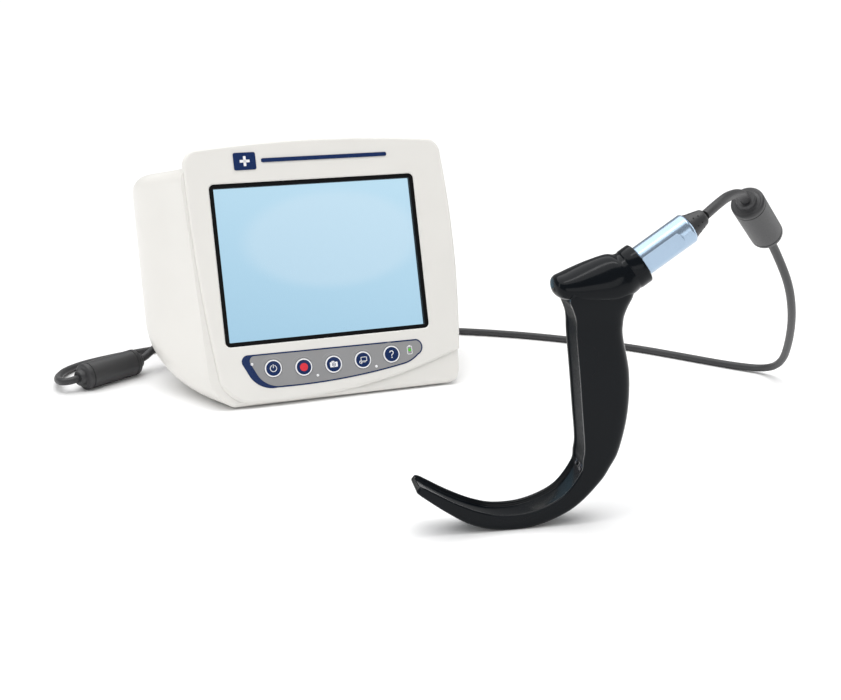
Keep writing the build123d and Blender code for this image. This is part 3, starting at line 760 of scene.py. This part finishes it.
class LARYNGOSCOPE_OT_cable(bpy.types.Operator):
    """Video cable with its two ferrites, its boots and the plug's sleeve"""

    bl_idname = "laryngoscope.cable"
    bl_label = "Cable"

    def execute(self, context):
        sizes = context.scene.laryngoscope_sizes
        curve = bpy.data.curves.new("video_cable_jacket", "CURVE")
        curve.dimensions = "3D"
        curve.bevel_depth = sizes.cable_diameter / 2
        curve.bevel_resolution = 5
        curve.resolution_u = 12
        curve.use_fill_caps = True
        spline = curve.splines.new("NURBS")
        spline.points.add(len(CABLE_ROUTE) - 1)
        for point, place in zip(spline.points, CABLE_ROUTE):
            point.co = (*[c * 0.001 for c in place], 1)
        spline.order_u = 3
        spline.use_endpoint_u = True
        curve.materials.append(FINISHES["jacket"])
        jacket = bpy.data.objects.new("video_cable_jacket", curve)
        context.collection.objects.link(jacket)
        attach(jacket, "monitor")
        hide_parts("video_cable_socket_end", "video_cable", "video_cable_handset_end")

        radius = sizes.ferrite_radius * 1000
        pieces = [
            ferrite("monitor_end_ferrite", FERRITE_A, radius, "ferrite_monitor"),
            ferrite("handset_end_ferrite", FERRITE_B, radius, "ferrite_handset"),
            self.monitor_boot(),
            self.plug_boot(sizes.boot_slots),
            self.sleeve(),
            NODES["monitor_plug"],
            NODES["handset_plug_tongue"],
        ]
        return {"FINISHED"}

    def monitor_boot(self):
        """Ribbed taper between the monitor's plug and the cable."""
        near, far = Vector(MONITOR_BOOT[0]), Vector(MONITOR_BOOT[1])
        span = (far - near).length
        profile = [(0.0, 0.5), (5.4, 0.5)]
        ribs = 5
        for i in range(ribs):
            share = i / ribs
            outer = 5.5 - 2.2 * share
            low = 2.0 + (span - 3.0) * share
            pitch = (span - 3.0) / ribs
            profile += [(outer, low), (outer, low + pitch * 0.6), (outer - 0.7, low + pitch * 0.68)]
            profile += [(outer - 0.8, low + pitch * 0.95)]
        profile += [(3.1, span - 0.6), (2.7, span), (0.0, span)]
        bm = bmesh.new()
        turned(bm, profile, axis_place(near, far), sides=40)
        return add_cable_piece(bm, "monitor_cable_boot", ["jacket"], "monitor_strain_relief")

    def plug_boot(self, count):
        """Short taper with rings of dark marks, painted shade for slots, where the cable leaves the
        sleeve.
        """
        profile = [
            (0.0, 28.4),
            (6.3, 28.4),
            (6.5, 29.2),
            (6.1, 30.0),
            (4.3, 36.2),
            (3.9, 37.2),
            (3.0, 38.0),
            (0.0, 38.0),
        ]
        bm = bmesh.new()
        turned(bm, profile, PLUG, sides=48)
        for height, radius, slot in BOOT_RINGS:
            tree = slots_tree(FINISHES["slot_dark"])
            values = {"Count": count, "Ring": radius, "Slot": slot}
            mesh = grown(tree, points_mesh([(0, 0, 0)]), values)
            mesh.transform(Matrix.Translation((0, 0, height)))
            mesh.transform(PLUG)
            start = len(bm.faces)
            bm.from_mesh(mesh)
            bm.faces.ensure_lookup_table()
            for face in bm.faces[start:]:
                face.material_index = 1
        return add_cable_piece(
            bm, "plug_cable_boot", ["jacket", "slot_dark"], "handset_strain_relief"
        )

    def sleeve(self):
        """Anodised grip with a milled flat on each side, rounded at its outer end."""
        radius, span = SLEEVE_RADIUS, SLEEVE_SPAN
        rows, sides = 100, 144
        profile = [(4.8, 0.0), (radius - 0.5, 0.0), (radius, 0.5)]
        for i in range(rows + 1):
            profile.append((radius, 0.8 + (span - 2.4) * i / rows))
        profile += [(radius - 0.35, span - 0.9), (radius - 1.1, span - 0.2)]
        profile += [(5.4, span), (4.8, span - 0.4)]
        rings = []
        for reach, height in profile:
            ring = []
            for i in range(sides):
                angle = 2 * pi * i / sides
                turn = (angle + pi / 2) % pi - pi / 2
                depth = flat_limit(height, reach * sin(turn)) * (radius - SLEEVE_FLAT)
                limit = (radius - depth) / max(cos(turn), 0.2)
                out = min(reach, limit) if abs(turn) < 1.2 else reach
                ring.append((out * cos(angle), out * sin(angle), height))
            rings.append(ring)
        bm = bmesh.new()
        loft(bm, rings, PLUG)
        replaced = ["handset_plug_sleeve"]
        finishes = [FINISHES["sleeve"]]
        return add_piece(
            bm, "plug_sleeve", finishes, "monitor", replaced, crease=30.0
        )


def flat_limit(height, side):
    """How deep the milled flat is at a height along the sleeve: 1 on the flat, 0 outside it."""
    end = 22.5 - 0.12 * side * side
    rise = min(max((height + 1.0) / 1.0, 0), 1)
    fall = min(max((end - height) / 0.8, 0), 1)
    return rise * fall


class LARYNGOSCOPE_OT_monitor(bpy.types.Operator):
    """Finishes of the monitor's case, screen, back and inside"""

    bl_idname = "laryngoscope.monitor"
    bl_label = "Monitor finishes"

    def execute(self, context):
        paint("case", "front_bezel", "rear_shell", "battery_door")
        paint("gasket", "bezel_gasket", "screen_gasket")
        paint("foot", "rubber_feet", "port_flap", "flap_anchor")
        paint("picture", "lcd_panel")
        paint("screen_glass", "screen_window")
        paint("steel", "lcd_bracket", "board_screws", "door_screws", "cable_socket", "usb_port")
        paint("steel", "handset_socket", "handset_plug_tongue")
        paint("board", "switch_board", "main_board", "handset_board")
        paint("wrap", "battery_pack")
        paint("black_plastic", "power_jack", "camera_module")
        paint("jacket", "monitor_plug")
        paint("brass", "mount_inserts")
        paint("navy", "keypad_surround")
        paint("membrane", "keypad_overlay")
        paint("amber", "flex_cable")
        paint("lamp", "light_emitter")
        return {"FINISHED"}


def button_place(name):
    u = (BUTTONS.index(name) - 2) * BUTTON_PITCH
    return u, BUTTON_V + BUTTON_SLOPE * u + BUTTON_BOW * u * u


WHITE, RED = 1, 2


def draw_power(bm, place, low, high):
    band(bm, arc((0, 0), 2.05, 112, 428, 30), 0.4, low, high, place, WHITE)
    band(bm, [(0, 0.3), (0, 2.6)], 0.42, low, high, place, WHITE)


def draw_record(bm, place, low, high):
    plate(bm, arc((0, 0), 2.6, 0, 352, 44), low, high, place, RED)


def draw_snapshot(bm, place, low, high):
    plate(bm, box_outline((0, -0.2), 5.1, 3.3, 0.5), low, high, place, WHITE)
    plate(bm, box_outline((-0.5, 1.65), 1.9, 0.9, 0.25), low, high, place, WHITE)
    band(bm, arc((0, -0.2), 1.05, 0, 348, 28), 0.38, high, high + 0.03, place, 0, closed=True)
    plate(bm, arc((0, -0.2), 0.42, 0, 340, 16), high, high + 0.03, place, 0)


def draw_display(bm, place, low, high):
    band(bm, box_outline((0.6, 0.5), 3.8, 2.6, 0.3, 2), 0.36, low, high, place, WHITE, closed=True)
    band(bm, arc((-1.6, -1.3), 0.95, 0, 345, 24), 0.32, low, high, place, WHITE, closed=True)
    band(bm, [(-2.3, -0.6), (-0.9, -2.0)], 0.3, low, high, place, WHITE)
    band(bm, [(-0.1, -1.4), (1.7, -1.4)], 0.34, low, high, place, WHITE)


def draw_help(bm, place, low, high):
    hook = arc((0, 1.0), 1.2, 170, -40, 18) + [(0.3, -0.2), (0.0, -0.65), (0.0, -1.1)]
    band(bm, hook, 0.56, low, high, place, WHITE)
    plate(bm, arc((0, -2.1), 0.42, 0, 340, 16), low, high, place, WHITE)


DRAWINGS = {
    "power": draw_power,
    "record": draw_record,
    "snapshot": draw_snapshot,
    "display": draw_display,
    "help": draw_help,
}


class LARYNGOSCOPE_OT_keypad(bpy.types.Operator):
    """Buttons with their printed signs, lamp dots, embossed arcs with a painted highlight and
    battery sign
    """

    bl_idname = "laryngoscope.keypad"
    bl_label = "Keypad"

    def execute(self, context):
        ink = context.scene.laryngoscope_sizes.printed_height * 1000
        for name in BUTTONS:
            self.button(name, ink)
        self.dots()
        self.arcs()
        self.battery(ink)
        return {"FINISHED"}

    def button(self, name, ink):
        """Cap with a white ring, a navy middle and its printed sign."""
        u, v = button_place(name)
        place = FACE @ Matrix.Translation((u, v, 0))
        navy, top = 4.75, 0.82
        bm = bmesh.new()
        stem = [(0.0, -4.6), (2.3, -4.6), (2.5, -4.4), (2.5, -0.1), (5.5, -0.1), (5.6, 0.0)]
        rim = [(5.6, 0.5), (5.5, 0.76), (5.25, 0.9), (4.95, 0.9), (navy, 0.86)]
        turned(bm, stem + [(5.6, 0.1)], place, 0)
        turned(bm, [(5.6, 0.1)] + rim, place, WHITE)
        dish = [(navy, 0.86), (navy - 0.1, top), (3.0, top - 0.06), (0.0, top - 0.08)]
        turned(bm, dish, place, 0)
        DRAWINGS[name](bm, place, top - 0.25, top + ink)
        finishes = [FINISHES["navy"], FINISHES["white_ink"], FINISHES["red_ink"]]
        add_piece(bm, f"{name}_key", finishes, f"{name}_button", [f"{name}_button"])

    def dots(self):
        """Three small white lamps on the membrane."""
        tree = dots_tree(FINISHES["white_ink"])
        mesh = grown(tree, points_mesh(LAMP_DOTS), {"Radius": LAMP_DOT_RADIUS})
        mesh.transform(FACE)
        add_mesh(mesh, "keypad_dots", [FINISHES["white_ink"]], "monitor")

    def arcs(self):
        """Faint raised arcs over each button, in a lighter grey than the membrane as a painted
        highlight.
        """
        bm = bmesh.new()
        for name in BUTTONS:
            u, v = button_place(name)
            near = arc((u, v), 7.0, 40, 128)
            far = arc((u - 0.6, v - 0.3), 8.1, 84, 142, 20)
            band(bm, near, 0.5, MEMBRANE_TOP, 0.44, FACE)
            band(bm, far, 0.3, MEMBRANE_TOP, 0.43, FACE)
        add_piece(bm, "keypad_emboss", [FINISHES["emboss"]], "monitor")

    def battery(self, ink):
        """Battery sign with its green lamp."""
        bm = bmesh.new()
        u, v = BATTERY_CENTRE
        top = 0.44
        case = box_outline(BATTERY_CENTRE, 3.1, 5.0, 0.5, 3)
        plate(bm, box_outline(BATTERY_CENTRE, 4.0, 6.0, 0.6), -0.2, top, FACE)
        band(bm, case, 0.4, 0.4, top + ink, FACE, 1, closed=True)
        plate(bm, box_outline((u, v + 2.85), 1.5, 0.7, 0.2, 2), 0.2, top + ink, FACE, 1)
        plate(bm, arc((u, v + 0.2), 1.05, 0, 345), 0.4, top + ink, FACE, 2)
        finishes = [FINISHES["membrane"], FINISHES["white_ink"], FINISHES["green_ink"]]
        add_piece(bm, "battery_sign", finishes, "monitor", ["battery_lamp"])


class LARYNGOSCOPE_OT_badge(bpy.types.Operator):
    """Plain badge: a navy square with a cross, and a plain raised bar"""

    bl_idname = "laryngoscope.badge"
    bl_label = "Badge"

    def execute(self, context):
        bm = bmesh.new()
        plate(bm, box_outline((0.5, BADGE_V), 103.98, 12.98, 1.5), -0.6, 0.0, FACE, 1)
        plate(bm, box_outline(EMBLEM_CENTRE, 14.4, 11.2, 1.4), 0.0, 0.5, FACE, ease=0.15)
        for width, height in ((6.4, 1.7), (1.7, 6.4)):
            plate(bm, box_outline(EMBLEM_CENTRE, width, height, 0.3, 2), 0.45, 0.56, FACE, 2)
        plate(bm, box_outline((9.0, BADGE_V), 84.0, 2.6, 1.2), 0.0, 0.5, FACE, ease=0.15)
        finishes = [FINISHES["navy"], FINISHES["case"], FINISHES["white_ink"]]
        add_piece(bm, "front_badge", finishes, "monitor", ["badge"])
        return {"FINISHED"}


# ---------------------------------------------------------------- handset
def smooth_rows(rows, steps):
    """Rows between the given ones, on a smooth curve through them."""
    result = []
    for i in range(len(rows) - 1):
        a, b = rows[max(i - 1, 0)], rows[i]
        c, d = rows[i + 1], rows[min(i + 2, len(rows) - 1)]
        for k in range(steps):
            t = k / steps
            row = []
            for p, q, r, s in zip(a, b, c, d):
                square = 2 * p - 5 * q + 4 * r - s
                cube = 3 * q - p - 3 * r + s
                row.append(0.5 * (2 * q + (r - p) * t + square * t * t + cube * t**3))
            result.append(row)
    result.append(list(rows[-1]))
    return result


def blade_outline(thick, width, corner, channel, wall):
    """Section of the blade: rails and a shallow channel on the inner face, a round back."""
    half = width / 2
    rail = min(wall, half * 0.4)
    lip = min(0.9, thick * 0.28)
    corner = min(corner, thick * 0.48, half * 0.9)
    inner = [
        (lip, -half, 0.7),
        (0.0, -half + 0.15, lip),
        (0.0, -half + rail, 0.9),
        (channel, -half + rail + 0.7, 0.6),
        (channel, half - rail - 0.7, 0.6),
        (0.0, half - rail, 0.9),
        (0.0, half - 0.15, lip),
        (lip, half, 0.7),
    ]
    outer = [(thick, half, corner), (thick, -half, corner)]
    points = inner + outer
    result = []
    count = len(points)
    for i, (a, w, radius) in enumerate(points):
        here = Vector((a, w))
        before, after = Vector(points[i - 1][:2]), Vector(points[(i + 1) % count][:2])
        back, on = (before - here).length, (after - here).length
        start = here.lerp(before, min(radius, back * 0.48) / max(back, 1e-6))
        end = here.lerp(after, min(radius, on * 0.48) / max(on, 1e-6))
        steps = 10 if i >= len(inner) else 4
        for k in range(steps + 1):
            t = k / steps
            result.append(start * (1 - t) ** 2 + here * 2 * t * (1 - t) + end * t * t)
    return result


class LARYNGOSCOPE_OT_handset(bpy.types.Operator):
    """Polished blade, handle and head with its collar and windows"""

    bl_idname = "laryngoscope.handset"
    bl_label = "Handset"

    def execute(self, context):
        wall = context.scene.laryngoscope_sizes.channel_wall * 1000
        self.blade(wall)
        self.head()
        self.collar()
        self.windows()
        return {"FINISHED"}

    def blade(self, wall):
        """One swept body from the tip to the neck."""
        rings = []
        for x, z, turn, thick, width, corner, channel in smooth_rows(BLADE_STATIONS, 7):
            across = (cos(radians(turn)), sin(radians(turn)))
            ring = []
            for a, w in blade_outline(thick, width, corner, max(channel, 0.0), wall):
                ring.append((x + across[0] * a, w, z + across[1] * a))
            rings.append(ring)
        bm = bmesh.new()
        loft(bm, rings, HANDSET)
        bm.faces.ensure_lookup_table()
        count = len(rings[0])
        for i, ring in enumerate(rings[:-1]):
            if ring[0][2] > HANDLE_LOW:
                for face in bm.faces[i * count + CHANNEL_START : i * count + CHANNEL_END]:
                    face.material_index = 1
        finishes = [FINISHES["handset"], FINISHES["channel"]]
        add_piece(bm, "blade_and_handle", finishes, "handset", ["blade_shell"])

    def head(self):
        """Pointed cap over the handle, rounding into the collar."""
        rings = []
        sides = 72
        for x, z, lean, high, wide, low_n, top_n, taper in smooth_rows(HEAD_ROWS, 4):
            ring = []
            for i in range(sides):
                angle = 2 * pi * i / sides
                c, s = cos(angle), sin(angle)
                power = 2 / (top_n if s > 0 else low_n)
                up = high / 2 * abs(s) ** power * (1 if s > 0 else -1)
                side = wide / 2 * abs(c) ** power * (1 if c > 0 else -1)
                side *= 1 - taper * max(up / (high / 2) + 0.25, 0)
                lean_to = radians(lean)
                ring.append((x - sin(lean_to) * up, side, z + cos(lean_to) * up))
            rings.append(ring)
        bm = bmesh.new()
        loft(bm, rings, HANDSET)
        finishes = [FINISHES["handset"]]
        add_piece(bm, "handset_head", finishes, "handset", ["head_cap"])

    def collar(self):
        """Turned ring that the plug seats in."""
        profile = [
            (8.1, -7.5),
            (9.9, -7.5),
            (10.35, -6.9),
            (10.6, -6.0),
            (10.6, -1.3),
            (10.4, -0.55),
            (9.8, -0.1),
            (8.9, 0.0),
            (8.2, -0.3),
            (8.1, -1.0),
            (8.1, -7.5),
        ]
        bm = bmesh.new()
        turned(bm, profile, PLUG, sides=96)
        add_piece(bm, "plug_collar", [FINISHES["handset"]], "handset", ["collar"])

    def windows(self):
        """Camera and light windows in the channel, at the blade's bend."""
        look = Vector((-cos(WINDOW_RISE), 0, sin(WINDOW_RISE)))
        for name, (node, side, radius) in WINDOWS.items():
            base = Vector((WINDOW_X, side, WINDOW_Z)) - look * WINDOW_SUNK
            turn = look.to_track_quat("Z", "Y").to_matrix().to_4x4()
            place = HANDSET @ Matrix.Translation(base) @ turn
            bm = bmesh.new()
            lip = (radius - 0.35, 1.25)
            glass = [lip, (radius - 0.5, 1.1), (radius * 0.5, 1.2), (0.0, 1.25)]
            turned(bm, [(0.0, 0.0), (radius, 0.0), (radius, 1.0), lip], place, 0, sides=32)
            turned(bm, glass, place, 1, sides=32)
            finishes = [FINISHES["handset"], FINISHES["lens_glass"]]
            add_piece(bm, name, finishes, "handset", [node])


class LARYNGOSCOPE_PT_panel(bpy.types.Panel):
    """Settings and steps of the video laryngoscope"""

    bl_label = "Video laryngoscope"
    bl_idname = "LARYNGOSCOPE_PT_panel"
    bl_space_type = "VIEW_3D"
    bl_region_type = "UI"
    bl_category = "Laryngoscope"

    def draw(self, context):
        for group in GROUPS:
            settings = getattr(context.scene, group)
            column = self.layout.column()
            for name in settings.__annotations__:
                column.prop(settings, name)
        for operator in OPERATORS:
            self.layout.operator(operator.bl_idname)


GROUPS = {
    "laryngoscope_colours": LaryngoscopeColours,
    "laryngoscope_sizes": LaryngoscopeSizes,
    "laryngoscope_stage": LaryngoscopeStage,
}
OPERATORS = (
    LARYNGOSCOPE_OT_stage,
    LARYNGOSCOPE_OT_cable,
    LARYNGOSCOPE_OT_monitor,
    LARYNGOSCOPE_OT_keypad,
    LARYNGOSCOPE_OT_badge,
    LARYNGOSCOPE_OT_handset,
)
CLASSES = (*GROUPS.values(), *OPERATORS, LARYNGOSCOPE_PT_panel)


def register():
    for cls in CLASSES:
        bpy.utils.register_class(cls)
    for name, group in GROUPS.items():
        setattr(bpy.types.Scene, name, PointerProperty(type=group))


def unregister():
    for name in GROUPS:
        delattr(bpy.types.Scene, name)
    for cls in reversed(CLASSES):
        bpy.utils.unregister_class(cls)


def main():
    register()
    make_finishes(bpy.context.scene.laryngoscope_colours)
    bpy.ops.laryngoscope.stage()
    bpy.ops.laryngoscope.cable()
    bpy.ops.laryngoscope.monitor()
    bpy.ops.laryngoscope.keypad()
    bpy.ops.laryngoscope.badge()
    bpy.ops.laryngoscope.handset()


if __name__ == "__main__":
    main()
